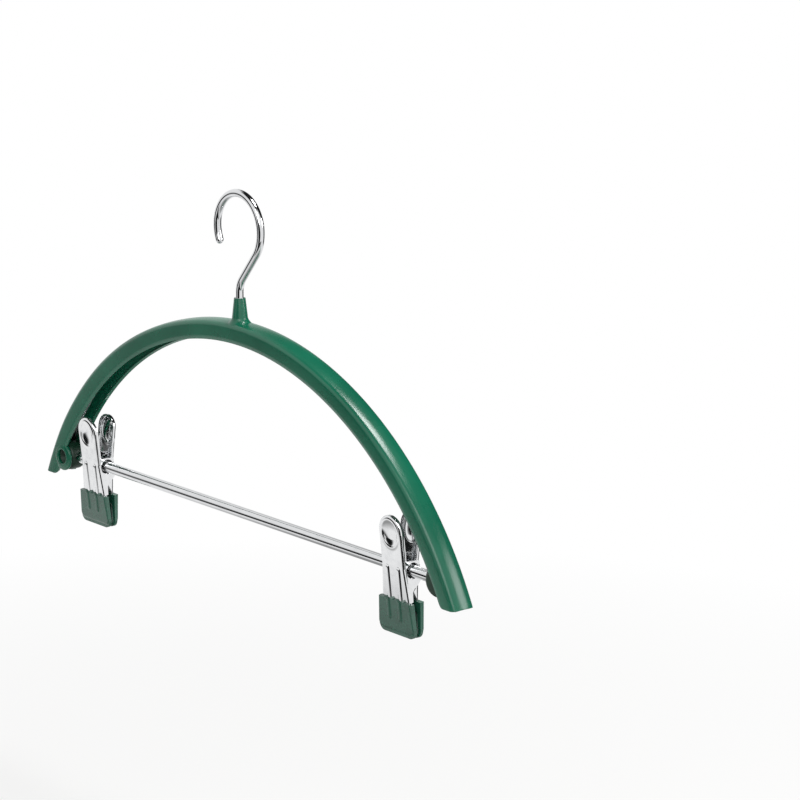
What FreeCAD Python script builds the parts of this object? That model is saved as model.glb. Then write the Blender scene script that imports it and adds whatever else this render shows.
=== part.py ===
import FreeCAD, Part
import math
import os
from FreeCAD import Vector

# Skirt hanger: a PVC dipped steel arch with a swivelling wire hook, a crossbar and two sliding sprung clips.
# The origin is the rail seat, inside the top of the hook. +X runs along the bar, -Y is the front, +Z is up.
# All lengths are in millimetres and all angles in degrees.

# Shared by all cuts
cut_overrun = 5.0

# Hook
hook_wire_diameter = 5.0
hook_loop_radius = 21.7
hook_lean_angle = 40.0
hook_bend_radius = 14.0
hook_tip_angle = 205.0
hook_rise = 42.0
foot_diameter = 8.4
foot_height = 2.5
foot_play = 0.3
swivel_clearance = 0.05

# Collar, ferrule and washer
collar_top_diameter = 7.0
collar_base_diameter = 10.3
collar_height = 14.7
collar_fillet = 1.6
collar_root = 1.6
ferrule_wall = 0.55
ferrule_stand = 1.3
washer_diameter = 9.6
washer_thickness = 1.0

# Arch channel, measured over its coat
arch_radius = 231.0
arch_tip_drop = 133.0
channel_width = 16.0
channel_height = 12.1
channel_wall = 2.0
channel_corner = 3.8
dome_rise = 1.1
coat_thickness = 0.5
tip_inner_round = 5.5
tip_outer_round = 1.2
outline_margin = 0.2
half_sweep_angle = 90.0

# Crossbar, its sockets and the eyelet
bar_diameter = 7.0
socket_diameter = 18.6
socket_edge_round = 3.0
socket_depth = 8.0
socket_tip_margin = 3.8
eyelet_hole_diameter = 10.5

# Room along the bar between each clip's cap and its socket
left_clip_room = 5.8
right_clip_room = 10.6

# Jaw sheet
jaw_sheet = 1.0
jaw_width = 20.4
jaw_nest_gap = 0.6
flare_height = 2.0
flare_slope = 0.11
tab_height = 33.0
plate_axis_reach = 6.5
jaw_depth = 40.2
tab_flange_depth = 2.6
ear_top = 5.6
ear_reach = 5.2
ear_low = 6.6
ear_knee = 12.6
flange_inset = 0.6
flange_end = 18.6
flange_end_inset = 1.0
nose_clearance = 0.35
dent_width = 9.5
dent_length = 16.0
dent_depth = 0.4
dent_height = 22.0
rib_spacing = 9.8
rib_radius = 1.9
rib_stand = 0.7
rib_top = 0.6
rib_bottom = 29.5

# Jaw caps
cap_top = 18.9
cap_skin = 0.8
cap_tip = 3.0
cap_lip_width = 32.4
cap_lip_top_width = 28.8
cap_lip_thickness = 1.7
cap_corner = 5.0
grip_gap_top = 4.6
grip_gap_bottom = 2.2

# Pivot tube inside the spring, between the inner ears
slide_clearance = 0.05
tube_wall = 0.5
tube_end_play = 0.3
ear_clearance = 0.3

# Torsion spring
spring_wire_diameter = 0.9
spring_coil_clearance = 0.25
spring_pitch = 1.4
spring_whole_turns = 4
spring_leg_length = 17.0
spring_check_steps = 48

# Places worked out from the sizes
wire_radius = hook_wire_diameter / 2
loop_z = wire_radius - hook_loop_radius
collar_z = loop_z - hook_rise
crown_z = collar_z - collar_height
arch_z = crown_z - arch_radius
rim_radius = arch_radius - channel_height
tip_z = crown_z - arch_tip_drop
bar_z = tip_z + socket_diameter / 2 + socket_tip_margin
bar_radius = bar_diameter / 2
socket_x = math.sqrt(rim_radius ** 2 - (bar_z - arch_z) ** 2)
inner_half_width = channel_width / 2 - channel_wall
ferrule_bore = wire_radius + swivel_clearance
ferrule_radius = ferrule_bore + ferrule_wall
ferrule_base_z = crown_z - channel_wall - ferrule_stand
tube_bore = bar_radius + slide_clearance
tube_radius = tube_bore + tube_wall
ear_bore = bar_radius + ear_clearance
plate_tip_reach = grip_gap_bottom / 2 + jaw_sheet
plate_slope = (plate_axis_reach - plate_tip_reach) / jaw_depth
plate_tilt = math.degrees(math.atan(plate_slope))
plate_offset = plate_axis_reach * math.cos(math.radians(plate_tilt))
front_half_width = jaw_width / 2
rear_half_width = front_half_width - jaw_sheet - jaw_nest_gap
nose_radius = plate_offset - jaw_sheet - nose_clearance
clip_limit_x = socket_x - socket_diameter / 2 - cap_lip_width / 2
x_axis = Vector(1, 0, 0)
y_axis = Vector(0, 1, 0)
z_axis = Vector(0, 0, 1)


def save(shape, node):
    shape.exportStep("parts/" + node + ".step")
    print(node, "solids", len(shape.Solids), "volume", round(shape.Volume, 2), "valid", shape.isValid())


def cylinder_along(axis, radius, length, middle):
    base = middle - axis * (length / 2)
    return Part.makeCylinder(radius, length, base, axis)


def box_between(low, high):
    return Part.makeBox(high.x - low.x, high.y - low.y, high.z - low.z, low)


def line(start, end):
    return Part.LineSegment(start, end).toShape()


def arc(start, middle, end):
    return Part.Arc(start, middle, end).toShape()


def side_plate(points, x_low, x_high):
    face = Part.Face(Part.makePolygon(points + points[:1]))
    plate = face.extrude(x_axis * (x_high - x_low))
    plate.translate(x_axis * x_low)
    return plate


# Arch: one channel section swept round, trimmed by an outline with round corners.

def channel_section(inset):
    half = channel_width / 2 - inset
    top = arch_radius - inset
    rim = rim_radius + inset
    corner = channel_corner - inset
    wall = channel_wall - 2 * inset
    shoulder = top - dome_rise
    bend = half - corner
    knee = math.sqrt(0.5)

    def point(radius, y):
        return Vector(0, y, arch_z + radius)

    def wall_side(side):
        outer_low = point(rim + wall / 2, side * half)
        outer_high = point(shoulder - corner, side * half)
        outer_bend = point(shoulder - corner + corner * knee, side * (bend + corner * knee))
        outer_top = point(shoulder, side * bend)
        inner_corner = corner - wall
        inner_low = point(rim + wall / 2, side * (half - wall))
        inner_high = point(shoulder - corner, side * (half - wall))
        inner_bend = point(shoulder - corner + inner_corner * knee, side * (bend + inner_corner * knee))
        inner_top = point(shoulder - wall, side * bend)
        rim_edge = point(rim, side * (half - wall / 2))
        return [line(outer_low, outer_high), arc(outer_high, outer_bend, outer_top),
                line(inner_low, inner_high), arc(inner_high, inner_bend, inner_top),
                arc(outer_low, rim_edge, inner_low)]

    outer_dome = arc(point(shoulder, -bend), point(top, 0), point(shoulder, bend))
    inner_dome = arc(point(shoulder - wall, -bend), point(top - wall, 0), point(shoulder - wall, bend))
    edges = wall_side(-1) + [outer_dome] + wall_side(1) + [inner_dome]
    return Part.Face(Part.Wire(Part.__sortEdges__(edges)))


def arch_outline(inset):
    outer = arch_radius + outline_margin - inset
    inner = rim_radius - outline_margin + inset
    low = tip_z + inset
    centre = Vector(0, 0, arch_z)
    edges = [arc(*arch_span(outer, low, -(tip_outer_round - inset))),
             arc(*arch_span(inner, low, tip_inner_round - inset))]
    for side in (-1, 1):
        feet = []
        for radius, corner in ((outer, -(tip_outer_round - inset)), (inner, tip_inner_round - inset)):
            size = abs(corner)
            reach = radius + corner
            bend_x = side * math.sqrt(reach ** 2 - (low + size - arch_z) ** 2)
            bend = Vector(bend_x, 0, low + size)
            outward = (bend - centre).normalize()
            on_circle = centre + outward * radius
            on_foot = Vector(bend_x, 0, low)
            middle = bend + ((on_circle - bend) + (on_foot - bend)).normalize() * size
            edges.append(arc(on_circle, middle, on_foot))
            feet.append(on_foot)
        edges.append(line(*feet))
    face = Part.Face(Part.Wire(Part.__sortEdges__(edges)))
    outline = face.extrude(y_axis * (channel_width + 2 * cut_overrun))
    outline.translate(y_axis * -(channel_width / 2 + cut_overrun))
    return outline


def arch_span(radius, low, corner):
    reach = radius + corner
    rise = low + abs(corner) - arch_z
    share = radius / reach
    end_x = share * math.sqrt(reach ** 2 - rise ** 2)
    end_z = arch_z + share * rise
    return Vector(-end_x, 0, end_z), Vector(0, 0, arch_z + radius), Vector(end_x, 0, end_z)


def eyelet_ring(inset):
    outer_y = -(channel_width / 2 - inset)
    depth = channel_wall - 2 * inset
    return Part.makeCylinder(socket_diameter / 2 - inset, depth, Vector(-socket_x, outer_y, bar_z), y_axis)


def arch_solid(inset):
    section = channel_section(inset)
    section.rotate(Vector(0, 0, arch_z), y_axis, -half_sweep_angle)
    channel = section.revolve(Vector(0, 0, arch_z), y_axis, 2 * half_sweep_angle)
    trimmed = channel.common(arch_outline(inset))
    with_ear = trimmed.fuse(eyelet_ring(inset)).removeSplitter()
    hole_radius = eyelet_hole_diameter / 2 + inset
    hole_length = channel_wall + cut_overrun
    hole_start = Vector(-socket_x, -channel_width / 2 - cut_overrun, bar_z)
    return with_ear.cut(Part.makeCylinder(hole_radius, hole_length, hole_start, y_axis))


def neck_bore():
    top = collar_z + cut_overrun
    base = ferrule_base_z - cut_overrun
    return Part.makeCylinder(ferrule_radius, top - base, Vector(0, 0, base), z_axis)


def make_arch():
    root_z = crown_z - collar_root
    height = collar_z - root_z
    growth = (collar_base_diameter - collar_top_diameter) / 2 * height / collar_height
    root_radius = collar_top_diameter / 2 + growth
    collar = Part.makeCone(root_radius, collar_top_diameter / 2, height, Vector(0, 0, root_z), z_axis)
    body = arch_solid(0).fuse(collar).removeSplitter()
    foot_edges = []
    for edge in body.Edges:
        box = edge.BoundBox
        near_crown = box.ZMax < crown_z + collar_root and box.ZMin > crown_z - channel_wall
        around_neck = max(box.XMax, -box.XMin) < collar_base_diameter
        if near_crown and around_neck:
            foot_edges.append(edge)
    body = body.makeFillet(collar_fillet, foot_edges)
    core = arch_solid(coat_thickness).cut(neck_bore())
    coating = body.cut(core).cut(neck_bore())
    save(core, "arch_core")
    save(coating, "arch_coating")


# Neck and hook

def make_neck():
    height = collar_z - ferrule_base_z
    base = Vector(0, 0, ferrule_base_z)
    bore_start = base - z_axis * cut_overrun
    ferrule = Part.makeCylinder(ferrule_radius, height, base, z_axis)
    bore = Part.makeCylinder(ferrule_bore, height + 2 * cut_overrun, bore_start, z_axis)
    save(ferrule.cut(bore), "neck_ferrule")
    washer_base = base - z_axis * washer_thickness
    washer = Part.makeCylinder(washer_diameter / 2, washer_thickness, washer_base, z_axis)
    save(washer.cut(bore), "hook_washer")


def make_hook():
    centre = Vector(0, 0, loop_z)
    lean = math.radians(hook_lean_angle)
    tip = math.radians(hook_tip_angle)

    def on_loop(angle):
        return centre + Vector(math.cos(angle), 0, math.sin(angle)) * hook_loop_radius

    foot_top_z = ferrule_base_z - washer_thickness - foot_play
    corner = Vector(0, 0, loop_z - hook_loop_radius / math.sin(lean))
    rise = Vector(math.sin(lean), 0, math.cos(lean))
    tangent = hook_bend_radius * math.tan(lean / 2)
    bend_start = corner - z_axis * tangent
    bend_end = corner + rise * tangent
    bend_sag = hook_bend_radius * (1 / math.cos(lean / 2) - 1)
    bend_middle = corner + (rise - z_axis).normalize() * bend_sag
    foot = Vector(0, 0, foot_top_z - foot_height)
    loop_start = on_loop(-lean)
    path = Part.Wire([line(foot, bend_start), arc(bend_start, bend_middle, bend_end),
                      line(bend_end, loop_start), arc(loop_start, on_loop((tip - lean) / 2), on_loop(tip))])
    section = Part.Wire(Part.makeCircle(wire_radius, foot, z_axis))
    wire = path.makePipeShell([section], True, False)
    ball = Part.makeSphere(wire_radius, on_loop(tip))
    upset = Part.makeCylinder(foot_diameter / 2, foot_height, foot, z_axis)
    save(wire.fuse(ball).fuse(upset).removeSplitter(), "hook")


# Crossbar and its sockets

def make_crossbar():
    end_x = socket_x - socket_diameter / 2 + socket_depth
    save(cylinder_along(x_axis, bar_radius, 2 * end_x, Vector(0, 0, bar_z)), "crossbar")
    for side, node in ((-1, "bar_socket_left"), (1, "bar_socket_right")):
        middle = Vector(side * socket_x, 0, bar_z)
        boss = cylinder_along(y_axis, socket_diameter / 2, 2 * inner_half_width, middle)
        boss = boss.makeFillet(socket_edge_round, boss.Edges)
        bore_start = Vector(side * end_x, 0, bar_z)
        bore = Part.makeCylinder(bar_radius, socket_depth + cut_overrun, bore_start, x_axis * -side)
        save(boss.cut(bore), node)


# Clips: everything is drawn with the bar axis at zero, as a front jaw, and mirrored for the rear one.

def plate_y(z, depth):
    return -(plate_axis_reach - depth) - plate_slope * z


def flared_half(half_width, z):
    return half_width + flare_slope * max(0.0, flare_height - z)


def jaw_corners(half_width, low_z, top_z):
    low_half = flared_half(half_width, low_z)
    return [Vector(-half_width, 0, top_z), Vector(-half_width, 0, flare_height), Vector(-low_half, 0, low_z),
            Vector(low_half, 0, low_z), Vector(half_width, 0, flare_height), Vector(half_width, 0, top_z)]


def open_lines(points):
    return [line(start, end) for start, end in zip(points, points[1:])]


def jaw_plate(half_width):
    corners = jaw_corners(half_width, -(jaw_depth - cap_tip), tab_height - half_width)
    edges = open_lines(corners) + [arc(corners[-1], Vector(0, 0, tab_height), corners[0])]
    plate = Part.Face(Part.Wire(edges)).extrude(y_axis * jaw_sheet)
    dent_half = (dent_length - dent_width) / 2
    dent = box_between(Vector(-dent_width / 2, -cut_overrun, dent_height - dent_half),
                       Vector(dent_width / 2, dent_depth, dent_height + dent_half))
    for end in (-1, 1):
        end_base = Vector(0, -cut_overrun, dent_height + end * dent_half)
        dent = dent.fuse(Part.makeCylinder(dent_width / 2, dent_depth + cut_overrun, end_base, y_axis))
    plate = plate.cut(dent)
    for side in (-1, 1):
        rib_start = Vector(side * rib_spacing / 2, rib_radius - rib_stand, -rib_bottom)
        rib = Part.makeCylinder(rib_radius, rib_bottom + rib_top, rib_start, z_axis)
        for end in (rib_start, rib_start + z_axis * (rib_bottom + rib_top)):
            rib = rib.fuse(Part.makeSphere(rib_radius, end))
        behind = box_between(Vector(-jaw_width, jaw_sheet / 2, -jaw_depth),
                             Vector(jaw_width, jaw_width, tab_height))
        plate = plate.fuse(rib.cut(behind))
    plate.translate(y_axis * -plate_offset)
    plate.rotate(Vector(0, 0, 0), x_axis, plate_tilt)
    return plate.removeSplitter()


def ear_points(half_width, is_rear):
    shoulder_z = tab_height - half_width
    low_z = -(jaw_depth - cap_tip) + jaw_sheet
    middle = jaw_sheet / 2
    top = nose_radius if is_rear else ear_top
    upper = [Vector(0, plate_y(shoulder_z, middle), shoulder_z),
             Vector(0, plate_y(shoulder_z, tab_flange_depth), shoulder_z),
             Vector(0, plate_y(top, tab_flange_depth), top)]
    if is_rear:
        reach = [Vector(0, 0, nose_radius), Vector(0, 0, -nose_radius)]
    else:
        reach = [Vector(0, ear_reach, ear_top), Vector(0, ear_reach, -ear_low)]
    if is_rear:
        lower = [Vector(0, -flange_inset, -ear_knee), Vector(0, plate_y(-flange_end, middle), -flange_end)]
    else:
        grip_y = -grip_gap_top / 2 - cap_skin
        lower = [Vector(0, -flange_inset, -ear_knee), Vector(0, -flange_end_inset, -flange_end),
                 Vector(0, grip_y, -cap_top - cap_skin), Vector(0, plate_y(low_z, middle), low_z)]
    return upper + reach + lower


def jaw_walls(half_width):
    low_z = -(jaw_depth - cap_tip)
    shoulder_z = tab_height - half_width
    walls = []
    for half, spare in ((half_width, 0), (half_width - jaw_sheet, cut_overrun)):
        corners = jaw_corners(half, low_z - spare, shoulder_z + spare)
        face = Part.Face(Part.Wire(open_lines(corners + corners[:1])))
        block = face.extrude(y_axis * 2 * jaw_width)
        block.translate(y_axis * -jaw_width)
        walls.append(block)
    return walls[0].cut(walls[1])


def make_jaw(half_width, is_rear):
    profile = side_plate(ear_points(half_width, is_rear), -jaw_width, jaw_width)
    if is_rear:
        profile = profile.fuse(cylinder_along(x_axis, nose_radius, 2 * jaw_width, Vector(0, 0, 0)))
    jaw = jaw_plate(half_width).fuse(jaw_walls(half_width).common(profile))
    bore = cylinder_along(x_axis, ear_bore, jaw_width + 2 * cut_overrun, Vector(0, 0, 0))
    return jaw.cut(bore).removeSplitter()


def cap_blank(top_half, low_half):
    corners = [Vector(-top_half, 0, -cap_top), Vector(-low_half, 0, -jaw_depth), Vector(low_half, 0, -jaw_depth),
               Vector(top_half, 0, -cap_top)]
    return Part.Face(Part.Wire(open_lines(corners + corners[:1]))).extrude(y_axis * -jaw_depth)


def make_cap(jaw):
    grip_top = Vector(0, -grip_gap_top / 2, -cap_top)
    grip_bottom = Vector(0, -grip_gap_bottom / 2, -jaw_depth)
    face_bottom = Vector(0, plate_y(-jaw_depth, -cap_skin), -jaw_depth)
    face_top = Vector(0, plate_y(-cap_top, -cap_skin), -cap_top)
    lip_step = y_axis * -cap_lip_thickness
    half_lip = cap_lip_width / 2
    hat = side_plate([face_top, grip_top, grip_bottom, face_bottom], -half_lip, half_lip)
    hat = hat.common(cap_blank(flared_half(front_half_width, -cap_top) + cap_skin,
                               flared_half(front_half_width, -jaw_depth) + cap_skin))
    lip_points = [grip_top + lip_step, grip_top, grip_bottom, grip_bottom + lip_step]
    lip = side_plate(lip_points, -half_lip, half_lip)
    blank = cap_blank(cap_lip_top_width / 2, half_lip)
    low_edges = []
    for edge in blank.Edges:
        box = edge.BoundBox
        runs_back = box.YMax - box.YMin > cap_corner
        if runs_back and box.ZMax < -cap_top - cap_corner:
            low_edges.append(edge)
    blank = blank.makeFillet(cap_corner, low_edges)
    return hat.fuse(lip).common(blank).cut(jaw).removeSplitter()


def make_pivot_tube():
    length = 2 * (rear_half_width - jaw_sheet - tube_end_play)
    zero = Vector(0, 0, 0)
    tube = cylinder_along(x_axis, tube_radius, length, zero)
    return tube.cut(cylinder_along(x_axis, tube_bore, length + 2 * cut_overrun, zero))


# Torsion spring: a helix of quarter turns, each two arcs, with a straight leg at either end.

def tangent_arc(start, handle, end):
    chord_middle = (start + end) * 0.5
    half_turn = (handle - start).getAngle(end - handle) / 2
    share = math.cos(half_turn) / (1 + math.cos(half_turn))
    return arc(start, chord_middle + (handle - chord_middle) * share, end)


def spring_path():
    radius = tube_radius + spring_coil_clearance + spring_wire_diameter / 2
    tilt = math.radians(plate_tilt)
    start_angle = math.pi + tilt
    turn = math.pi - 2 * tilt + 2 * math.pi * spring_whole_turns
    quarters = math.ceil(turn / (math.pi / 2))
    advance = spring_pitch / (2 * math.pi)
    middle_turn = turn / 2

    def place(travel):
        angle = start_angle + travel
        return Vector(advance * (travel - middle_turn), radius * math.cos(angle), radius * math.sin(angle))

    def heading(travel):
        angle = start_angle + travel
        return Vector(advance, -radius * math.sin(angle), radius * math.cos(angle)).normalize()

    edges = [line(place(0) - heading(0) * spring_leg_length, place(0))]
    for index in range(quarters):
        begin = turn * index / quarters
        finish = turn * (index + 1) / quarters
        start, end = place(begin), place(finish)
        head, tail = heading(begin), heading(finish)
        span = end - start
        square = 2 - 2 * head.dot(tail)
        linear = span.dot(head + tail)
        reach = (math.sqrt(linear ** 2 + square * span.dot(span)) - linear) / square
        handle_start = start + head * reach
        handle_end = end - tail * reach
        joint = (handle_start + handle_end) * 0.5
        edges.append(tangent_arc(start, handle_start, joint))
        edges.append(tangent_arc(joint, handle_end, end))
    edges.append(line(place(turn), place(turn) + heading(turn) * spring_leg_length))
    return edges


def print_least_gap(edges):
    points = []
    lengths = []
    travelled = 0
    for edge in edges:
        steps = edge.discretize(spring_check_steps)
        for first, second in zip(steps, steps[1:]):
            points.append(first)
            lengths.append(travelled)
            travelled += first.distanceToPoint(second)
    apart = math.pi * (tube_radius + spring_wire_diameter)
    least = min(first.distanceToPoint(second)
                for index, first in enumerate(points)
                for other, second in enumerate(points[index + 1:], index + 1)
                if lengths[other] - lengths[index] > apart)
    print("spring least gap to itself", round(least - spring_wire_diameter, 3))


def make_spring():
    edges = spring_path()
    print_least_gap(edges)
    start = edges[0].valueAt(edges[0].FirstParameter)
    direction = edges[0].tangentAt(edges[0].FirstParameter)
    section = Part.Wire(Part.makeCircle(spring_wire_diameter / 2, start, direction))
    return Part.Wire(edges).makePipeShell([section], True, False)


def make_clips():
    front_jaw = make_jaw(front_half_width, False)
    rear_jaw = make_jaw(rear_half_width, True)
    zero = Vector(0, 0, 0)
    pieces = {"front_jaw": front_jaw, "rear_jaw": rear_jaw.mirror(zero, y_axis),
              "front_cap": make_cap(front_jaw), "rear_cap": make_cap(rear_jaw).mirror(zero, y_axis),
              "pivot_tube": make_pivot_tube(), "spring": make_spring()}
    places = {"left_": left_clip_room - clip_limit_x, "right_": clip_limit_x - right_clip_room}
    for side, clip_x in places.items():
        for name, piece in pieces.items():
            placed = piece.copy()
            placed.translate(Vector(clip_x, 0, bar_z))
            save(placed, side + name)


os.makedirs("parts", exist_ok=True)
make_arch()
make_neck()
make_hook()
make_crossbar()
make_clips()
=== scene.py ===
import math

import bmesh
import bpy
from mathutils import Matrix, Vector


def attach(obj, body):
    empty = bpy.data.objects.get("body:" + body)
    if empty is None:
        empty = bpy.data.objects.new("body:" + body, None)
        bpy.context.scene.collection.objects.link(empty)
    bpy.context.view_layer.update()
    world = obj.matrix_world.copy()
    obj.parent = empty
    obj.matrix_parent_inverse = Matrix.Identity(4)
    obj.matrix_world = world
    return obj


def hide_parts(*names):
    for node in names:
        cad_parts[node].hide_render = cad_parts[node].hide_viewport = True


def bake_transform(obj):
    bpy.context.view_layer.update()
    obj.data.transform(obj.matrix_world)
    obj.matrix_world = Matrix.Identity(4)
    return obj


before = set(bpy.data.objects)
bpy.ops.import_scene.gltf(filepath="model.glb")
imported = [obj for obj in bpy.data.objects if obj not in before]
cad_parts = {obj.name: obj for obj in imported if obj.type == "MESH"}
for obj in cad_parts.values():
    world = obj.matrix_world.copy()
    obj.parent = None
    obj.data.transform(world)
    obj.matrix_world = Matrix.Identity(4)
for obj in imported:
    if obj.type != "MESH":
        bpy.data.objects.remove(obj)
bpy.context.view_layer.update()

# Pieces are drawn in millimetres, in the CAD frame, and scaled to metres as they are finished.
# The origin is the rail seat in the hook, x runs along the bar, -y is the front and z is up.
mmPerMetre = 1000
barZ = -195.8
socketX = 188.61
clipX = {"left": -157.31, "right": 152.51}
clipFaces = ("front", "rear")
xAxis = Vector((1, 0, 0))
yAxis = Vector((0, 1, 0))
zAxis = Vector((0, 0, 1))
quarterTurn = math.pi / 2
fullTurn = 2 * math.pi
turnedSides = 72
pickReach = 0.01
weldReach = 0.002


# Colours and nodes

def linearColour(hexValue):
    parts = [int(hexValue[i:i + 2], 16) / 255 for i in (1, 3, 5)]
    return [c / 12.92 if c <= 0.04045 else ((c + 0.055) / 1.055) ** 2.4 for c in parts] + [1.0]


def addNode(tree, kind, settings, links=()):
    node = tree.nodes.new(kind)
    for key, value in settings.items():
        if isinstance(key, int) or key in node.inputs:
            node.inputs[key].default_value = value
        else:
            setattr(node, key, value)
    for socketName, source in dict(links).items():
        tree.links.new(source, node.inputs[socketName])
    return node


def startMaterial(name):
    material = bpy.data.materials.new(name)
    material.use_nodes = True
    tree = material.node_tree
    tree.nodes.clear()
    place = addNode(tree, "ShaderNodeTexCoord", {}).outputs["Object"]
    return material, tree, place


def perMm(size):
    return mmPerMetre / size


# PVC plastisol, hot dipped and cured: an even satin gloss with soft wide highlights, a faint orange peel
# 1 to 2 mm across and slow cloudy changes of tone where the dip ran thicker.

dipSurface = {"cloudDetail": 3.0, "deepAt": 0.3, "paleAt": 0.7, "smoother": 0.04, "rougher": 0.05,
              "peelDetail": 2.0, "peelHeightMm": 0.1}


def pvcDip(name, look):
    d = dipSurface
    material, tree, place = startMaterial(name)
    cloud = addNode(tree, "ShaderNodeTexNoise", {"Scale": perMm(look["cloudMm"]), "Detail": d["cloudDetail"]},
                    {"Vector": place})
    tone = addNode(tree, "ShaderNodeValToRGB", {}, {"Fac": cloud.outputs["Fac"]})
    deep, pale = tone.color_ramp.elements
    deep.position, deep.color = d["deepAt"], linearColour(look["deep"])
    pale.position, pale.color = d["paleAt"], linearColour(look["pale"])
    gloss = addNode(tree, "ShaderNodeMapRange", {"To Min": look["rough"] - d["smoother"],
                                                 "To Max": look["rough"] + d["rougher"]},
                    {"Value": cloud.outputs["Fac"]})
    peel = addNode(tree, "ShaderNodeTexNoise", {"Scale": perMm(look["peelMm"]), "Detail": d["peelDetail"]},
                   {"Vector": place})
    bump = addNode(tree, "ShaderNodeBump", {"Strength": look["peelStrength"],
                                            "Distance": d["peelHeightMm"] / mmPerMetre},
                   {"Height": peel.outputs["Fac"]})
    shader = addNode(tree, "ShaderNodeBsdfPrincipled", {"IOR": look["ior"]},
                     {"Base Color": tone.outputs["Color"], "Roughness": gloss.outputs["Result"],
                      "Normal": bump.outputs["Normal"]})
    addNode(tree, "ShaderNodeOutputMaterial", {}, {"Surface": shader.outputs["BSDF"]})
    return material


# Nickel chrome plate on pressed or drawn steel: near mirror, a slow waviness from the press or the
# drawing die that bends reflections into streaks, and a light haze in places.

plateSurface = {"waveDetail": 1.5, "waveHeightMm": 0.2, "hazeDetail": 4.0, "hazeFrom": 0.35, "hazeTo": 0.75}


def metalPlate(name, look):
    p = plateSurface
    material, tree, place = startMaterial(name)
    stretch = addNode(tree, "ShaderNodeMapping", {"Scale": look["stretch"]}, {"Vector": place})
    wave = addNode(tree, "ShaderNodeTexNoise", {"Scale": perMm(look["waveMm"]), "Detail": p["waveDetail"]},
                   {"Vector": stretch.outputs["Vector"]})
    haze = addNode(tree, "ShaderNodeTexNoise", {"Scale": perMm(look["hazeMm"]), "Detail": p["hazeDetail"]},
                   {"Vector": place})
    gloss = addNode(tree, "ShaderNodeMapRange", {"From Min": p["hazeFrom"], "From Max": p["hazeTo"],
                                                 "To Min": look["rough"], "To Max": look["rough"] + look["haze"]},
                    {"Value": haze.outputs["Fac"]})
    tone = addNode(tree, "ShaderNodeValToRGB", {}, {"Fac": haze.outputs["Fac"]})
    bright, dull = tone.color_ramp.elements
    bright.color, dull.color = linearColour(look["bright"]), linearColour(look["dull"])
    bump = addNode(tree, "ShaderNodeBump", {"Strength": look["waveStrength"],
                                            "Distance": p["waveHeightMm"] / mmPerMetre},
                   {"Height": wave.outputs["Fac"]})
    shader = addNode(tree, "ShaderNodeBsdfPrincipled", {"Metallic": 1.0},
                     {"Base Color": tone.outputs["Color"], "Roughness": gloss.outputs["Result"],
                      "Normal": bump.outputs["Normal"]})
    addNode(tree, "ShaderNodeOutputMaterial", {}, {"Surface": shader.outputs["BSDF"]})
    return material


archPvc = pvcDip("dippedPvcArch", {"ior": 1.53, "deep": "#0c6148", "pale": "#117054", "cloudMm": 45.0,
                                   "rough": 0.27, "peelMm": 2.2, "peelStrength": 0.12})
# The caps shine more than the arch, so their IOR is matched above the usual one.
capPvc = pvcDip("dippedPvcCap", {"ior": 1.72, "deep": "#1d5542", "pale": "#27614e", "cloudMm": 9.0,
                                 "rough": 0.27, "peelMm": 1.2, "peelStrength": 0.18})
# The sockets sit in the shade of the channel: their green is painted darker as painted shade, and their dip is
# duller.
socketPvcPaintedShade = pvcDip("dippedPvcSocketPaintedShade", {"ior": 1.5, "deep": "#052818", "pale": "#083422", "cloudMm": 14.0,
                                       "rough": 0.46, "peelMm": 1.6, "peelStrength": 0.15})
rodChrome = metalPlate("drawnWireChrome", {"bright": "#e4e5e6", "dull": "#d2d3d5", "stretch": (0.15, 1.0, 0.6),
                                           "waveMm": 9.0, "waveStrength": 0.05, "hazeMm": 6.0,
                                           "rough": 0.06, "haze": 0.08})
sheetChrome = metalPlate("pressedSheetChrome", {"bright": "#ebecec", "dull": "#dcdddf", "stretch": (1.0, 1.0, 0.6),
                                                "waveMm": 7.0, "waveStrength": 0.12, "hazeMm": 3.0,
                                                "rough": 0.07, "haze": 0.1})
# Zinc plate on turned steel: greyer than chrome and half matt, with a light crystal bloom.
zincPlate = metalPlate("zincPlatedSteel", {"bright": "#c4c7c9", "dull": "#a9adb0", "stretch": (1.0, 1.0, 1.0),
                                           "waveMm": 3.0, "waveStrength": 0.1, "hazeMm": 0.9,
                                           "rough": 0.28, "haze": 0.16})
# Oil tempered spring wire: dark grey with a soft shine from drawing.
springSteel = metalPlate("temperedSpringWire", {"bright": "#9a9da0", "dull": "#7c7f82", "stretch": (1.0, 1.0, 1.0),
                                                "waveMm": 1.5, "waveStrength": 0.1, "hazeMm": 0.7,
                                                "rough": 0.22, "haze": 0.14})
# Phosphated steel: near black and dull, as on small turned parts that stay inside.
phosphateSteel = metalPlate("phosphatedSteel", {"bright": "#3a3b3c", "dull": "#2a2b2c", "stretch": (1.0, 1.0, 1.0),
                                                "waveMm": 3.0, "waveStrength": 0.1, "hazeMm": 0.9,
                                                "rough": 0.42, "haze": 0.16})
print("materials ready")


# Shared steps for every piece

def makeObject(bm, name):
    mesh = bpy.data.meshes.new(name)
    bm.to_mesh(mesh)
    bm.free()
    made = bpy.data.objects.new(name, mesh)
    bpy.context.scene.collection.objects.link(made)
    return made


def toMetres(bm):
    bmesh.ops.scale(bm, vec=(1 / mmPerMetre, 1 / mmPerMetre, 1 / mmPerMetre), verts=bm.verts)


def addModifiers(piece, modifiers):
    for kind, settings in modifiers:
        modifier = piece.modifiers.new(kind.title(), kind)
        for key, value in settings.items():
            setattr(modifier, key, value)


def softEdges(width, segments=3, angle=40):
    return ("BEVEL", {"width": width / mmPerMetre, "segments": segments, "limit_method": "ANGLE",
                      "angle_limit": math.radians(angle), "profile": 0.5})


def evenNormals():
    return ("WEIGHTED_NORMAL", {"keep_sharp": True, "weight": 60})


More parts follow.
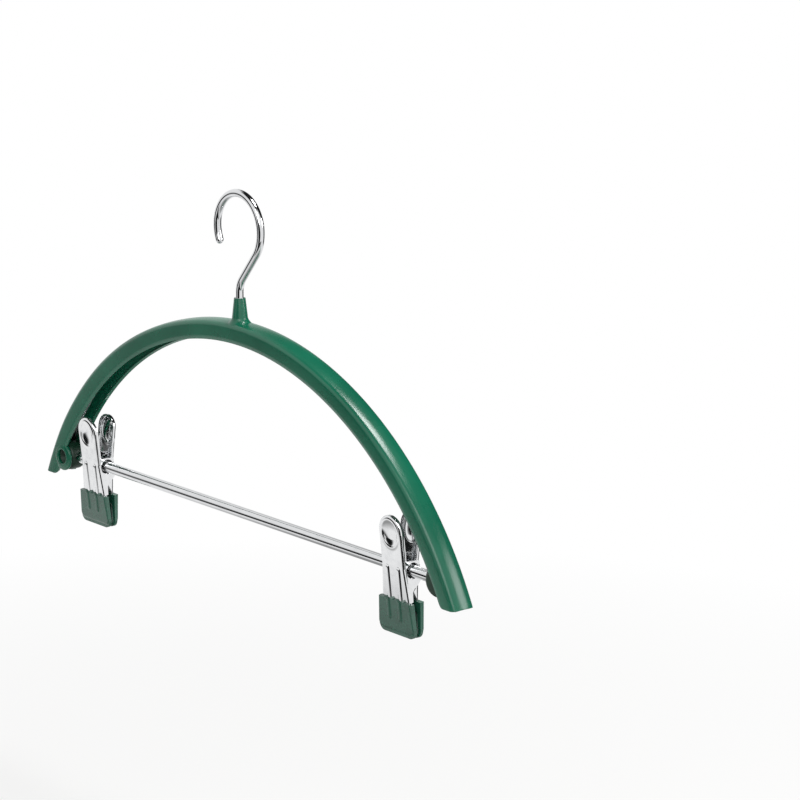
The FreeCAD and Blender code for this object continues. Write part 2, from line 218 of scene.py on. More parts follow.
def finishPiece(bm, name, body, node, material, modifiers=()):
    bmesh.ops.remove_doubles(bm, verts=bm.verts, dist=weldReach)
    bmesh.ops.recalc_face_normals(bm, faces=bm.faces)
    toMetres(bm)
    for face in bm.faces:
        face.smooth = True
    piece = makeObject(bm, name)
    piece.data.materials.append(material)
    addModifiers(piece, modifiers)
    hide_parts(node)
    if body:
        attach(piece, body)
    return piece


def cutRound(piece, middle, axis, radius, length):
    bm = bmesh.new()
    place = Matrix.Translation(middle) @ zAxis.rotation_difference(axis).to_matrix().to_4x4()
    bmesh.ops.create_cone(bm, cap_ends=True, segments=turnedSides, radius1=radius, radius2=radius, depth=length,
                          matrix=place)
    toMetres(bm)
    punch = makeObject(bm, "punch")
    hole = piece.modifiers.new("hole", "BOOLEAN")
    hole.object = punch
    hole.operation = "DIFFERENCE"
    hole.solver = "EXACT"
    bpy.context.view_layer.update()
    cut = bpy.data.meshes.new_from_object(piece.evaluated_get(bpy.context.evaluated_depsgraph_get()))
    piece.modifiers.clear()
    piece.data = cut
    bpy.data.objects.remove(punch)
    for face in cut.polygons:
        face.use_smooth = True


def easeIn(share):
    share = min(1.0, max(0.0, share))
    return share * share * (3 - 2 * share)


def roundCorners(bm, verts, size, segments):
    bmesh.ops.bevel(bm, geom=verts, offset=size, offset_type="OFFSET", segments=segments, profile=0.5,
                    affect="VERTICES", material=-1)


def vertsNear(bm, point):
    return [v for v in bm.verts if (v.co - Vector(point)).length < pickReach]


def vertsOf(parts):
    return list(dict.fromkeys(v for part in parts for v in part.verts))


def chain(bm, points):
    verts = [bm.verts.new(p) for p in points]
    for first, second in zip(verts, verts[1:]):
        bm.edges.new((first, second))


def growEdges(bm, edges):
    grown = bmesh.ops.extrude_edge_only(bm, edges=edges)["geom"]
    verts = [g for g in grown if isinstance(g, bmesh.types.BMVert)]
    return verts, [g for g in grown if isinstance(g, bmesh.types.BMEdge)]


def extrudeRing(bm, edges, shift, scale=1.0):
    verts, edges = growEdges(bm, edges)
    bmesh.ops.translate(bm, vec=shift, verts=verts)
    if scale != 1.0:
        middle = sum((v.co for v in verts), Vector()) / len(verts)
        bmesh.ops.scale(bm, vec=(scale, scale, scale), space=Matrix.Translation(-middle), verts=verts)
    return edges


def spinRing(bm, edges, centre, axis, angle, steps, shift=(0, 0, 0)):
    made = bmesh.ops.spin(bm, geom=vertsOf(edges) + edges, cent=centre, axis=axis, dvec=shift, angle=angle,
                          steps=steps, use_merge=False)
    return [g for g in made["geom_last"] if isinstance(g, bmesh.types.BMEdge)]


def turnRound(bm, centre, axis, steps=turnedSides):
    bmesh.ops.spin(bm, geom=bm.faces[:] + bm.edges[:] + bm.verts[:], cent=centre, axis=axis, angle=fullTurn,
                   steps=steps, use_merge=True)


def roundedEnd(bm, edges, heading, radius, rings=5, leastRatio=0.02):
    for step in range(rings):
        low, high = step * quarterTurn / rings, (step + 1) * quarterTurn / rings
        ratio = max(math.cos(high) / math.cos(low), leastRatio)
        edges = extrudeRing(bm, edges, Vector(heading) * radius * (math.sin(high) - math.sin(low)), ratio)
    bmesh.ops.contextual_create(bm, geom=edges)


# Arch: the channel is drawn as the middle of its wall, spun round, trimmed at the ends and given its
# thickness. The wall's side lists half width, radius and rounding, from the rim to the domed top.

archCoat = {"radius": 231.0, "rim": 218.9, "wall": 2.0, "centreZ": -306.9, "tipZ": -208.9, "halfAngle": 75.0,
            "steps": 240, "rimRound": 0.85, "innerRound": 5.5, "outerRound": 1.6, "cutsPerCorner": 7,
            "cornerReach": 14.0, "apex": 230.0, "apexRound": 1.8, "roundCuts": 8,
            "wallSide": ((6.35, 218.9, 0.0), (7.0, 220.5, 0.8), (7.05, 224.4, 1.6), (6.95, 228.7, 1.6),
                         (3.7, 229.75, 1.6)),
            "swell": {"stand": 1.3, "fromTurn": 12.0, "turnIn": 30.0, "toTurn": 68.0, "turnOut": 16.0,
                      "frontRun": 6.5, "fromRadius": 221.0, "radiusRun": 7.0}}


# The dip ran fuller over the front shoulder of the left arm.
def swellShoulder(bm, centre, s):
    for v in bm.verts:
        out = (v.co - centre) * Vector((1, 0, 1))
        turn = math.degrees(math.atan2(out.x, out.z))
        share = easeIn((-turn - s["fromTurn"]) / s["turnIn"]) * easeIn((turn + s["toTurn"]) / s["turnOut"])
        share *= easeIn(-v.co.y / s["frontRun"]) * easeIn((out.length - s["fromRadius"]) / s["radiusRun"])
        v.co += out.normalized() * s["stand"] * share


# The inner and the outer corner of each end are rounded by a fan of small cuts.
def roundArchEnds(bm, centre, a):
    corners = ((a["rim"], a["innerRound"], -1), (a["radius"], a["outerRound"], 1))
    for side in (-1, 1):
        for radius, size, sign in corners:
            bendZ = a["tipZ"] + size
            bendX = side * math.sqrt((radius - sign * size) ** 2 - (bendZ - a["centreZ"]) ** 2)
            bend = Vector((bendX, 0, bendZ))
            toRim = (bend - centre).normalized() * sign
            for step in range(1, a["cutsPerCorner"] + 1):
                share = step / (a["cutsPerCorner"] + 1)
                outward = (toRim * (1 - share) - zAxis * share).normalized()
                near = [f for f in bm.faces
                        if (f.calc_center_median() * Vector((1, 0, 1)) - bend).length < a["cornerReach"]]
                edges = list(dict.fromkeys(e for f in near for e in f.edges))
                bmesh.ops.bisect_plane(bm, geom=vertsOf(near) + edges + near, plane_co=bend + outward * size,
                                       plane_no=outward, clear_outer=True)


def buildArch(a):
    centre = Vector((0, 0, a["centreZ"]))
    halfAngle = math.radians(a["halfAngle"])
    wallSide = list(a["wallSide"])
    section = [(-y, r, size) for y, r, size in wallSide] + [(0, a["apex"], a["apexRound"])] + wallSide[::-1]
    bm = bmesh.new()
    chain(bm, [centre + Vector((0, y, r)) for y, r, size in section])
    for y, r, size in section:
        if size:
            roundCorners(bm, vertsNear(bm, centre + Vector((0, y, r))), size, a["roundCuts"])
    bmesh.ops.rotate(bm, cent=centre, matrix=Matrix.Rotation(-halfAngle, 3, "Y"), verts=bm.verts)
    spinRing(bm, bm.edges[:], centre, yAxis, 2 * halfAngle, a["steps"])
    swellShoulder(bm, centre, a["swell"])
    bmesh.ops.bisect_plane(bm, geom=bm.verts[:] + bm.edges[:] + bm.faces[:], plane_co=(0, 0, a["tipZ"]),
                           plane_no=-zAxis, clear_outer=True)
    roundArchEnds(bm, centre, a)
    thicken = ("SOLIDIFY", {"thickness": a["wall"] / mmPerMetre, "offset": 0.0, "use_even_offset": True})
    return finishPiece(bm, "archCoat", "frame", "arch_coating", archPvc, [thicken])


arch = buildArch(archCoat)
print("arch built")


# Eyelet on the left end: a soft raised ring that sits in a notch of the front wall.

eyelet = {"hole": 4.7, "outer": 9.35, "front": -8.35, "edge": -7.8, "back": -5.6, "round": 1.0, "roundCuts": 5,
          "notch": 7.6, "notchY": -7.0, "notchDepth": 6.0}


def buildEyelet(e):
    middle = Vector((-socketX, 0, barZ))
    cutRound(arch, middle + yAxis * e["notchY"], yAxis, e["notch"], e["notchDepth"])
    addModifiers(arch, [softEdges(archCoat["rimRound"]), evenNormals()])
    section = ((e["hole"], e["front"]), (e["outer"], e["edge"]), (e["outer"], e["back"]), (e["hole"], e["back"]))
    bm = bmesh.new()
    bm.faces.new([bm.verts.new(middle + Vector((r, y, 0))) for r, y in section])
    roundCorners(bm, bm.verts[:], e["round"], e["roundCuts"])
    turnRound(bm, middle, yAxis)
    # The turning leaves the section's own face inside the ring.
    bmesh.ops.delete(bm, geom=[f for f in bm.faces if len(f.verts) > 4], context="FACES_ONLY")
    finishPiece(bm, "eyeletRing", "frame", "arch_coating", archPvc)


buildEyelet(eyelet)


# Collar: a turned cone whose flared foot is let down onto the crown of the arch.

collar = {"topZ": -61.2, "crownZ": -75.9, "topRadius": 3.5, "bore": 3.1, "boreDepth": 3.0, "baseRadius": 5.1,
          "baseRise": 0.6, "flare": 7.3, "fillet": 2.2, "filletCuts": 8, "lip": 0.3, "lipCuts": 4, "boreLip": 0.1,
          "boreCuts": 2, "sides": 64, "settle": 3.0, "settlePower": 1.5, "sink": 0.06, "sinkPower": 4}


def crownHeight(x, y):
    found, point, normal, index = arch.ray_cast(Vector((x, y, 0)) / mmPerMetre, -zAxis)
    return point.z * mmPerMetre


def buildCollar(c):
    top, base = c["topZ"], c["crownZ"] + c["baseRise"]
    bm = bmesh.new()
    chain(bm, [(c["bore"], 0, top - c["boreDepth"]), (c["bore"], 0, top), (c["topRadius"], 0, top),
               (c["baseRadius"], 0, base), (c["flare"], 0, c["crownZ"])])
    for radius, z, size, cuts in ((c["baseRadius"], base, c["fillet"], c["filletCuts"]),
                                  (c["topRadius"], top, c["lip"], c["lipCuts"]),
                                  (c["bore"], top, c["boreLip"], c["boreCuts"])):
        roundCorners(bm, vertsNear(bm, (radius, 0, z)), size, cuts)
    turnRound(bm, (0, 0, 0), zAxis, c["sides"])
    settleTop = c["crownZ"] + c["settle"]
    for v in bm.verts:
        if v.co.z < settleTop:
            share = min(1.0, (settleTop - v.co.z) / (settleTop - c["crownZ"]))
            drop = c["crownZ"] - crownHeight(v.co.x, v.co.y)
            v.co.z -= drop * share ** c["settlePower"] + c["sink"] * share ** c["sinkPower"]
    finishPiece(bm, "collarCoat", "frame", "arch_coating", archPvc)


buildCollar(collar)
print("eyelet and collar built")


# Hook: one wire, upset at the foot, bent over to the right and rolled into the loop.

hookWire = {"radius": 2.5, "footZ": -83.0, "footRadius": 4.2, "footHeight": 2.5, "chamfer": 0.4,
            "bendRadius": 14.0, "bendSteps": 14, "lean": 40.0, "loopRadius": 21.7, "loopZ": -19.2,
            "loopSteps": 72, "tip": 205.0, "sides": 28}


def buildHook(h):
    lean, tip = math.radians(h["lean"]), math.radians(h["tip"])
    foot, narrow = h["footRadius"], h["footRadius"] - h["chamfer"]
    tangent = h["bendRadius"] * math.tan(lean / 2)
    bendZ = h["loopZ"] - h["loopRadius"] / math.sin(lean) - tangent
    rise = Vector((math.sin(lean), 0, math.cos(lean)))
    run = h["loopRadius"] / math.tan(lean) - tangent
    bm = bmesh.new()
    bmesh.ops.create_circle(bm, cap_ends=True, segments=h["sides"], radius=narrow,
                            matrix=Matrix.Translation((0, 0, h["footZ"])))
    edges = extrudeRing(bm, bm.edges[:], zAxis * h["chamfer"], foot / narrow)
    edges = extrudeRing(bm, edges, zAxis * (h["footHeight"] - 2 * h["chamfer"]))
    edges = extrudeRing(bm, edges, zAxis * h["chamfer"], narrow / foot)
    edges = extrudeRing(bm, edges, Vector(), h["radius"] / narrow)
    edges = extrudeRing(bm, edges, zAxis * (bendZ - h["footZ"] - h["footHeight"]))
    edges = spinRing(bm, edges, (h["bendRadius"], 0, bendZ), yAxis, lean, h["bendSteps"])
    edges = extrudeRing(bm, edges, rise * run)
    edges = spinRing(bm, edges, (0, 0, h["loopZ"]), -yAxis, lean + tip, h["loopSteps"])
    roundedEnd(bm, edges, (-math.sin(tip), 0, math.cos(tip)), h["radius"])
    finishPiece(bm, "hookWire", "hook", "hook", rodChrome, [evenNormals()])


buildHook(hookWire)


# Crossbar: a drawn rod with chamfered ends.

rod = {"radius": 3.5, "end": 187.3, "chamfer": 0.5, "sides": 56, "lengths": 12}


def buildRod(r):
    narrow = r["radius"] - r["chamfer"]
    turn = Matrix.Translation((-r["end"], 0, barZ)) @ Matrix.Rotation(quarterTurn, 4, "Y")
    bm = bmesh.new()
    bmesh.ops.create_circle(bm, cap_ends=True, segments=r["sides"], radius=narrow, matrix=turn)
    edges = extrudeRing(bm, bm.edges[:], xAxis * r["chamfer"], r["radius"] / narrow)
    for step in range(r["lengths"]):
        edges = extrudeRing(bm, edges, xAxis * 2 * (r["end"] - r["chamfer"]) / r["lengths"])
    edges = extrudeRing(bm, edges, xAxis * r["chamfer"], narrow / r["radius"])
    bmesh.ops.contextual_create(bm, geom=edges)
    finishPiece(bm, "crossbarRod", "frame", "crossbar", rodChrome, [evenNormals()])


buildRod(rod)


# Sockets: round bosses that hold the bar's ends between the channel walls. The left one has a blind hole
# behind the eyelet.

socket = {"radius": 9.3, "half": 6.0, "round": 3.0, "roundCuts": 6, "flatShare": 0.6, "blindRadius": 4.6,
          "blindDepth": 2.4}


def buildSocket(s, side):
    middle = Vector((-socketX if side == "left" else socketX, 0, barZ))
    flat = s["radius"] * s["flatShare"]
    rings = [(s["radius"], -s["half"]), (s["radius"], s["half"]), (flat, s["half"]), (0, s["half"])]
    if side == "left":
        floorY = s["blindDepth"] - s["half"]
        rings = [(0, floorY), (s["blindRadius"], floorY), (s["blindRadius"], -s["half"])] + rings
    else:
        rings = [(0, -s["half"]), (flat, -s["half"])] + rings
    bm = bmesh.new()
    chain(bm, [middle + Vector((r, y, 0)) for r, y in rings])
    for y in (-s["half"], s["half"]):
        roundCorners(bm, vertsNear(bm, middle + Vector((s["radius"], y, 0))), s["round"], s["roundCuts"])
    turnRound(bm, middle, yAxis)
    # The boss's darker green is painted shade.
    finishPiece(bm, side + "SocketBoss", "frame", "bar_socket_" + side, socketPvcPaintedShade)


for side in clipX:
    buildSocket(socket, side)
print("hook, crossbar and sockets built")


# Clip jaws: pressed from 1 mm sheet. The plate is drawn flat with its dent and ribs, its edge is turned back
# round the tab, and the turned edge grows into the ears that ride on the bar.

jaw = {"sheet": 1.0, "halfWidth": {"front": 10.2, "rear": 8.6}, "tabHeight": 33.0, "low": -37.2, "bend": 1.2,
       "bendSteps": 4, "flareZ": 2.0, "flareSlope": 0.11, "offset": 5.961, "tilt": 6.2465, "axisReach": 6.5,
       "slope": 0.10945, "flange": 2.6, "earTop": 5.6, "earReach": 5.2, "earLow": 6.6, "earRings": 4,
       "leastGrowth": 0.05, "knee": 12.6, "kneeInset": 0.6, "flangeEnd": 18.6, "endInset": 1.0, "nose": 5.11,
       "noseLow": 0.6, "noseBack": 0.8, "fillet": 1.2, "hole": 4.8, "punchLength": 40.0, "columns": 84,
       "rows": 180, "topAngle": 85.0, "edge": 0.18}
dent = {"halfWidth": 6.9, "halfLength": 8.0, "z": 22.2, "depth": 1.05, "fullness": 2.6, "rim": 0.2, "rimAt": 1.08,
        "rimSpread": 0.13}
rib = {"x": 4.9, "top": 0.6, "bottom": -29.5, "stand": 0.8, "reach": 1.9, "side": 1.2}


def ribStand(x, z):
    alongZ = min(max(z, rib["bottom"]), rib["top"])
    away = math.hypot(abs(x) - rib["x"], z - alongZ)
    return rib["stand"] * easeIn((rib["reach"] - away) / rib["side"])


def pressedStand(x, z):
    ring = math.hypot(x / dent["halfWidth"], (z - dent["z"]) / dent["halfLength"])
    stand = ribStand(x, z) + dent["rim"] * math.exp(-((ring - dent["rimAt"]) / dent["rimSpread"]) ** 2)
    if ring < 1:
        stand -= dent["depth"] * (1 - ring ** dent["fullness"])
    return stand


def flaredHalf(half, z):
    return half + jaw["flareSlope"] * max(0.0, jaw["flareZ"] - z)


# How far back the turned edge reaches at a height: a flange beside the tab, the ear, which is square on the
# front jaw and round on the rear one, and a taper below it.
def earBack(j, z, face):
    plate = -j["axisReach"] - j["slope"] * z
    earTop = j["earTop"] if face == "front" else j["nose"]
    if z > earTop:
        rise = max(0.0, j["fillet"] - (z - earTop))
        return plate + j["flange"] + j["fillet"] - math.sqrt(j["fillet"] ** 2 - rise ** 2)
    if face == "front":
        highZ, highY, endY = -j["earLow"], j["earReach"], -j["endInset"]
        if z > highZ:
            over = max(0.0, z - (earTop - j["fillet"]))
            return j["earReach"] - j["fillet"] + math.sqrt(max(0.0, j["fillet"] ** 2 - over ** 2))
    else:
        highZ, highY = -j["nose"] * j["noseLow"], j["nose"] * j["noseBack"]
        endY = -j["axisReach"] + j["slope"] * j["flangeEnd"] + j["sheet"]
        if z > highZ:
            return math.sqrt(max(0.0, j["nose"] ** 2 - z ** 2))
    if z > -j["knee"]:
        return highY - (j["kneeInset"] + highY) * (highZ - z) / (highZ + j["knee"])
    if z > -j["flangeEnd"]:
        return -j["kneeInset"] + (endY + j["kneeInset"]) * (-j["knee"] - z) / (j["flangeEnd"] - j["knee"])
    return plate + j["sheet"]


def placeOnClip(bm, side, face):
    if face == "rear":
        bmesh.ops.scale(bm, vec=(1, -1, 1), verts=bm.verts)
    bmesh.ops.translate(bm, vec=(clipX[side], 0, barZ), verts=bm.verts)


def buildJaw(j, side, face):
    half = j["halfWidth"][face]
    flat = half - j["sheet"] / 2 - j["bend"]
    shoulder = j["tabHeight"] - half
    topAngle = math.radians(j["topAngle"])
    split = (shoulder - j["low"]) / (shoulder - j["low"] + flat * topAngle)
    bm = bmesh.new()
    bmesh.ops.create_grid(bm, x_segments=j["columns"], y_segments=j["rows"], size=1)
    for v in bm.verts:
        across, along = v.co.x, (v.co.y + 1) / 2
        turn = max(0.0, (along - split) / (1 - split)) * topAngle
        z = j["low"] + (shoulder - j["low"]) * min(1.0, along / split) + flat * math.sin(turn)
        x = across * flaredHalf(flat, z) * math.cos(turn)
        v.co = (x, -pressedStand(x, z), z)
    # The edge is turned back all round but for the gripping end.
    edges = [e for e in bm.edges if e.is_boundary and max(v.co.z for v in e.verts) > j["low"] + pickReach]
    for step in range(j["bendSteps"]):
        before, after = step * quarterTurn / j["bendSteps"], (step + 1) * quarterTurn / j["bendSteps"]
        out = j["bend"] * (math.sin(after) - math.sin(before))
        back = j["bend"] * (math.cos(before) - math.cos(after))
        verts, edges = growEdges(bm, edges)
        for v in verts:
            way = Vector((v.co.x, 0, max(0.0, v.co.z - shoulder))).normalized()
            v.co += way * out + yAxis * back
    bmesh.ops.translate(bm, vec=(0, -j["offset"], 0), verts=bm.verts)
    bmesh.ops.rotate(bm, cent=(0, 0, 0), matrix=Matrix.Rotation(math.radians(j["tilt"]), 3, "X"), verts=bm.verts)
    for left in range(j["earRings"], 0, -1):
        verts, edges = growEdges(bm, edges)
        for v in verts:
            v.co.y += max(j["leastGrowth"], earBack(j, v.co.z, face) - v.co.y) / left
    placeOnClip(bm, side, face)
    body = side + "_" + face
    thicken = ("SOLIDIFY", {"thickness": j["sheet"] / mmPerMetre, "offset": 0.0})
    piece = finishPiece(bm, side + face.title() + "Jaw", body, body + "_jaw", sheetChrome, [thicken])
    cutRound(piece, (clipX[side], 0, barZ), xAxis, j["hole"], j["punchLength"])
    addModifiers(piece, [softEdges(j["edge"], segments=2, angle=50), evenNormals()])


for side in clipX:
    for face in clipFaces:
        buildJaw(jaw, side, face)
print("jaws built")


# Jaw caps: a thick dip over the gripping end, with a raised middle over the sheet, its ribs showing through,
# a flat lip at both sides and an upper edge that creeps up beside the ribs.

cap = {"top": -18.9, "bottom": -40.2, "topLip": 14.4, "lowLip": 16.2, "skin": 1.4, "lip": 1.9, "corner": 5.0,
       "hatLow": -37.6, "hatCorner": 3.6, "gapTop": 4.6, "gapBottom": 2.2, "run": 1.2, "crown": 0.075,
       "creep": 1.0, "creepAt": 2.1, "creepSpread": 0.6, "creepRun": 2.5, "sag": 0.3, "sagSpread": 1.0,
       "ribShare": 0.95, "columns": 110, "rows": 70, "edge": 0.45}


def gripBack(c, z):
    share = (c["top"] - z) / (c["top"] - c["bottom"])
    return -(c["gapTop"] + (c["gapBottom"] - c["gapTop"]) * share) / 2


def edgeCreep(c, x):
    beside = abs(abs(x) - rib["x"])
    rise = math.exp(-((beside - c["creepAt"]) / c["creepSpread"]) ** 2)
    return rise - c["sag"] * math.exp(-(beside / c["sagSpread"]) ** 2)


def capFront(c, x, z):
    lip = gripBack(c, z) - c["lip"]
    halfHat = flaredHalf(jaw["halfWidth"]["front"], z) + c["skin"]
    hat = -jaw["axisReach"] - jaw["slope"] * z - c["skin"] - c["crown"] * (1 - (x / halfHat) ** 2)
    beyondX = abs(x) - halfHat + c["hatCorner"]
    beyondZ = c["hatLow"] + c["hatCorner"] - z
    outside = math.hypot(max(beyondX, 0.0), max(beyondZ, 0.0)) + min(max(beyondX, beyondZ), 0.0) - c["hatCorner"]
    share = easeIn(0.5 - outside / c["run"])
    return lip + (min(hat, lip) - lip) * share - ribStand(x, z) * c["ribShare"]


def buildCap(c, side, face):
    height = c["top"] - c["bottom"]
    straight = height - c["corner"]
    split = c["corner"] * quarterTurn / (c["corner"] * quarterTurn + straight)
    bm = bmesh.new()
    bmesh.ops.create_grid(bm, x_segments=c["columns"], y_segments=c["rows"], size=1)
    for v in bm.verts:
        across, along = v.co.x, (v.co.y + 1) / 2
        turn = max(0.0, 1 - along / split) * quarterTurn
        z = c["bottom"] + c["corner"] * (1 - math.sin(turn)) + straight * max(0.0, (along - split) / (1 - split))
        halfLip = c["topLip"] + (c["lowLip"] - c["topLip"]) * (c["top"] - z) / height
        x = across * (halfLip - c["corner"] * (1 - math.cos(turn)))
        z += c["creep"] * edgeCreep(c, x) * easeIn((z - c["top"] + c["creepRun"]) / c["creepRun"])
        v.co = (x, gripBack(c, z), z)
    grown = bmesh.ops.extrude_face_region(bm, geom=bm.faces[:])["geom"]
    for v in [g for g in grown if isinstance(g, bmesh.types.BMVert)]:
        v.co.y = capFront(c, v.co.x, v.co.z)
    placeOnClip(bm, side, face)
    body = side + "_" + face
    finishPiece(bm, side + face.title() + "Cap", body, body + "_cap", capPvc,
                [softEdges(c["edge"], angle=45), evenNormals()])


for side in clipX:
    for face in clipFaces:
        buildCap(cap, side, face)
print("caps built")


# Torsion springs: a wire leg behind the front tab, a coil round the pivot tube and a leg behind the rear tab.

coil = {"wire": 0.45, "radius": 4.75, "pitch": 1.4, "wholeTurns": 4, "leg": 17.0, "sides": 12, "stepsPerTurn": 40,
        "heldEnd": 0.3}


def buildSpring(c, side):
    tilt = math.radians(jaw["tilt"])
    angle = math.pi - 2 * tilt + fullTurn * c["wholeTurns"]
    steps = round(angle / fullTurn * c["stepsPerTurn"])
    advance = c["pitch"] / fullTurn
    start = math.pi + tilt
    middle = Vector((clipX[side], 0, barZ))
    place = middle + Vector((-advance * angle / 2, c["radius"] * math.cos(start), c["radius"] * math.sin(start)))
    headings = [Vector((advance, -c["radius"] * math.sin(turn), c["radius"] * math.cos(turn))).normalized()
                for turn in (start, start + angle)]
    legStart = Matrix.Translation(place - headings[0] * c["leg"])
    bm = bmesh.new()
    bmesh.ops.create_circle(bm, cap_ends=True, segments=c["sides"], radius=c["wire"],
                            matrix=legStart @ zAxis.rotation_difference(headings[0]).to_matrix().to_4x4())
    edges = extrudeRing(bm, bm.edges[:], headings[0] * c["leg"])
    edges = spinRing(bm, edges, middle, xAxis, angle, steps, xAxis * advance * angle / steps)
    edges = extrudeRing(bm, edges, headings[1] * c["leg"])
    bmesh.ops.contextual_create(bm, geom=edges)
    piece = finishPiece(bm, side + "Spring", None, side + "_spring", springSteel)
    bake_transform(piece)


for side in clipX:
    buildSpring(coil, side)
print("springs built")


# Floor: matt white paper. Much of its white is its own, all of it at the edge, so that it meets the white
# background with no line and a soft shadow still shows under the object. Lengths from here on are in metres.

room = "#161818"
white = "#ffffff"
# Reflections alone see two painted marks on the floor: a dark side and a grey shade under the object.
paperFloor = {"z": -0.42, "radius": 0.75, "sides": 96, "colour": "#f2f2f0", "nearGlow": 0.72, "glowFrom": 0.45,
              "glowTo": 0.84, "paintedDarkSide": (0.45, -0.89, 0.0), "paintedDarkFrom": 0.3, "paintedDarkTo": 0.5, "shade": 0.65,
              "shadeFrom": 0.46, "shadeTo": 0.58}


def buildFloor(f):
    bm = bmesh.new()
    bmesh.ops.create_circle(bm, cap_ends=True, segments=f["sides"], radius=f["radius"])
    bmesh.ops.translate(bm, vec=(0, 0, f["z"]), verts=bm.verts)
    floor = makeObject(bm, "floor")
    material, tree, place = startMaterial("mattPaperFloor")
    paper = addNode(tree, "ShaderNodeBsdfDiffuse", {"Color": linearColour(f["colour"])})
    path = addNode(tree, "ShaderNodeLightPath", {})
    away = addNode(tree, "ShaderNodeVectorMath", {"operation": "LENGTH"}, {0: place})
    ring = addNode(tree, "ShaderNodeMapRange", {"From Min": f["glowFrom"], "From Max": f["glowTo"],
                                                "To Min": f["nearGlow"], "To Max": 1.0},
                   {"Value": away.outputs["Value"]})
    toEye = addNode(tree, "ShaderNodeMath", {"operation": "MULTIPLY"},
                    {0: path.outputs["Is Camera Ray"], 1: ring.outputs["Result"]})
    share = addNode(tree, "ShaderNodeMath", {"operation": "MAXIMUM"},
                    {0: toEye.outputs[0], 1: path.outputs["Is Glossy Ray"]})
    # Gloss also sees a painted dark side of the floor, standing in for a dark room, which draws the lines beside
    # the ribs,
    side = addNode(tree, "ShaderNodeVectorMath", {"operation": "DOT_PRODUCT", 1: f["paintedDarkSide"]}, {0: place})
    opening = addNode(tree, "ShaderNodeMapRange", {"interpolation_type": "SMOOTHSTEP", "From Min": f["paintedDarkFrom"],
                                                   "From Max": f["paintedDarkTo"]}, {"Value": side.outputs["Value"]})
    # and a painted grey shade under the object, where its shadow falls.
    shade = addNode(tree, "ShaderNodeMapRange", {"From Min": f["shadeFrom"], "From Max": f["shadeTo"],
                                                 "To Min": f["shade"], "To Max": 0.0},
                    {"Value": away.outputs["Value"]})
    darkest = addNode(tree, "ShaderNodeMath", {"operation": "MAXIMUM"},
                      {0: opening.outputs["Result"], 1: shade.outputs["Result"]})
    darkSeen = addNode(tree, "ShaderNodeMath", {"operation": "MULTIPLY"},
                       {0: darkest.outputs[0], 1: path.outputs["Is Glossy Ray"]})
    sheen = addNode(tree, "ShaderNodeValToRGB", {}, {"Fac": darkSeen.outputs[0]})
    lit, unlit = sheen.color_ramp.elements
    lit.color, unlit.color = linearColour(white), linearColour(room)
    glow = addNode(tree, "ShaderNodeEmission", {"Strength": 1.0}, {"Color": sheen.outputs["Color"]})
    mix = addNode(tree, "ShaderNodeMixShader", {}, {0: share.outputs[0], 1: paper.outputs[0], 2: glow.outputs[0]})
    addNode(tree, "ShaderNodeOutputMaterial", {}, {"Surface": mix.outputs[0]})
    floor.data.materials.append(material)


buildFloor(paperFloor)


# World: white all round to the eye. Gloss sees the same white, and the dark room where the studio is open:
# over the object, high and low at the back, and low in front.

studio = {"fill": 0.3,
          "openings": ({"towards": (0.0, 0.0, 1.0), "from": 0.72, "to": 0.88},
                       {"towards": (0.0, 0.75, 0.66), "from": 0.55, "to": 0.78},
                       {"towards": (0.3, -0.94, -0.15), "from": 0.84, "to": 0.93},
                       {"towards": (0.35, 0.91, -0.22), "from": 0.89, "to": 0.95},
                       {"towards": (-0.46, -0.88, -0.1), "from": 0.985, "to": 0.993},
                       {"towards": (-0.64, -0.75, -0.13), "from": 0.91, "to": 0.98})}


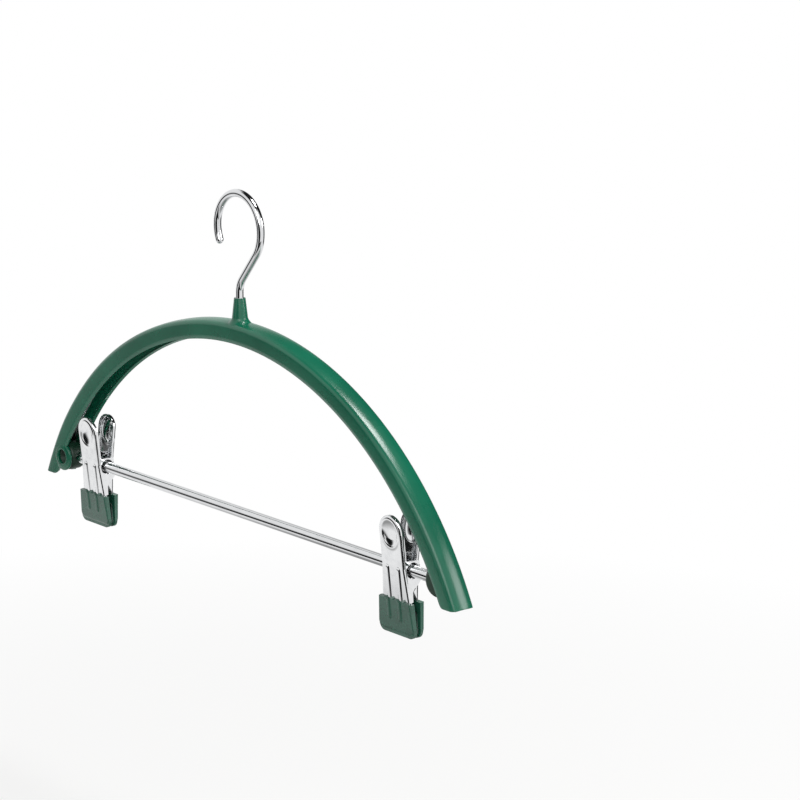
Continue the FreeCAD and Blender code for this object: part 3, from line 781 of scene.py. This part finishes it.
def buildWorld(w):
    world = bpy.data.worlds.new("studio")
    bpy.context.scene.world = world
    world.use_nodes = True
    tree = world.node_tree
    tree.nodes.clear()
    direction = addNode(tree, "ShaderNodeTexCoord", {}).outputs["Object"]
    dark = None
    for opening in w["openings"]:
        near = addNode(tree, "ShaderNodeVectorMath", {"operation": "DOT_PRODUCT", 1: opening["towards"]},
                       {0: direction})
        zone = addNode(tree, "ShaderNodeMapRange", {"interpolation_type": "SMOOTHSTEP", "From Min": opening["from"],
                                                    "From Max": opening["to"]},
                       {"Value": near.outputs["Value"]}).outputs["Result"]
        dark = zone if dark is None else addNode(tree, "ShaderNodeMath", {"operation": "MAXIMUM"},
                                                 {0: dark, 1: zone}).outputs[0]
    walls = addNode(tree, "ShaderNodeValToRGB", {}, {"Fac": dark})
    lit, unlit = walls.color_ramp.elements
    lit.color, unlit.color = linearColour(white), linearColour(room)
    path = addNode(tree, "ShaderNodeLightPath", {})
    fill = addNode(tree, "ShaderNodeBackground", {"Color": linearColour(white), "Strength": w["fill"]})
    shine = addNode(tree, "ShaderNodeBackground", {"Strength": 1.0}, {"Color": walls.outputs["Color"]})
    backdrop = addNode(tree, "ShaderNodeBackground", {"Color": linearColour(white), "Strength": 1.0})
    bounced = addNode(tree, "ShaderNodeMixShader", {},
                      {0: path.outputs["Is Glossy Ray"], 1: fill.outputs[0], 2: shine.outputs[0]})
    seen = addNode(tree, "ShaderNodeMixShader", {},
                   {0: path.outputs["Is Camera Ray"], 1: bounced.outputs[0], 2: backdrop.outputs[0]})
    addNode(tree, "ShaderNodeOutputWorld", {}, {"Surface": seen.outputs[0]})


buildWorld(studio)


# Lamps and the camera of the photograph

lampAim = (0.0, 0.0, -0.12)
lamps = {"keySoftbox": {"at": (0.24, 0.24, 1.05), "size": 0.4, "watts": 10.0},
         "sideSoftbox": {"at": (1.18, 0.93, 0.44), "size": 0.5, "watts": 5.5},
         "frontFill": {"at": (1.0, -1.1, 0.8), "size": 1.0, "watts": 8.5}}
photoCamera = {"aim": (0.15131, 0.0, -0.09748), "at": (1.3964, -1.0359, 0.2815), "lens": 131.77, "sensor": 36.0,
               "clipEnd": 50.0}


def standAt(name, data, at, aim):
    stood = bpy.data.objects.new(name, data)
    stood.location = at
    stood.rotation_euler = (Vector(aim) - Vector(at)).to_track_quat("-Z", "Y").to_euler()
    bpy.context.scene.collection.objects.link(stood)
    return stood


for lampName, lamp in lamps.items():
    light = bpy.data.lights.new(lampName, "AREA")
    light.shape = "SQUARE"
    light.size = lamp["size"]
    light.energy = lamp["watts"]
    standAt(lampName, light, lamp["at"], lampAim)

camera = bpy.data.cameras.new("photoCamera")
camera.lens = photoCamera["lens"]
camera.sensor_width = photoCamera["sensor"]
camera.clip_end = photoCamera["clipEnd"]
bpy.context.scene.camera = standAt("photoCamera", camera, photoCamera["at"], photoCamera["aim"])
bpy.context.scene.view_settings.view_transform = "Standard"
print("stage, lamps and camera set")

# The CAD nodes that stay as they are get their finish here.
for nodeName, material in (("arch_core", zincPlate), ("neck_ferrule", zincPlate), ("hook_washer", zincPlate),
                           ("left_pivot_tube", phosphateSteel), ("right_pivot_tube", phosphateSteel)):
    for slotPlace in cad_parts[nodeName].material_slots:
        slotPlace.material = material
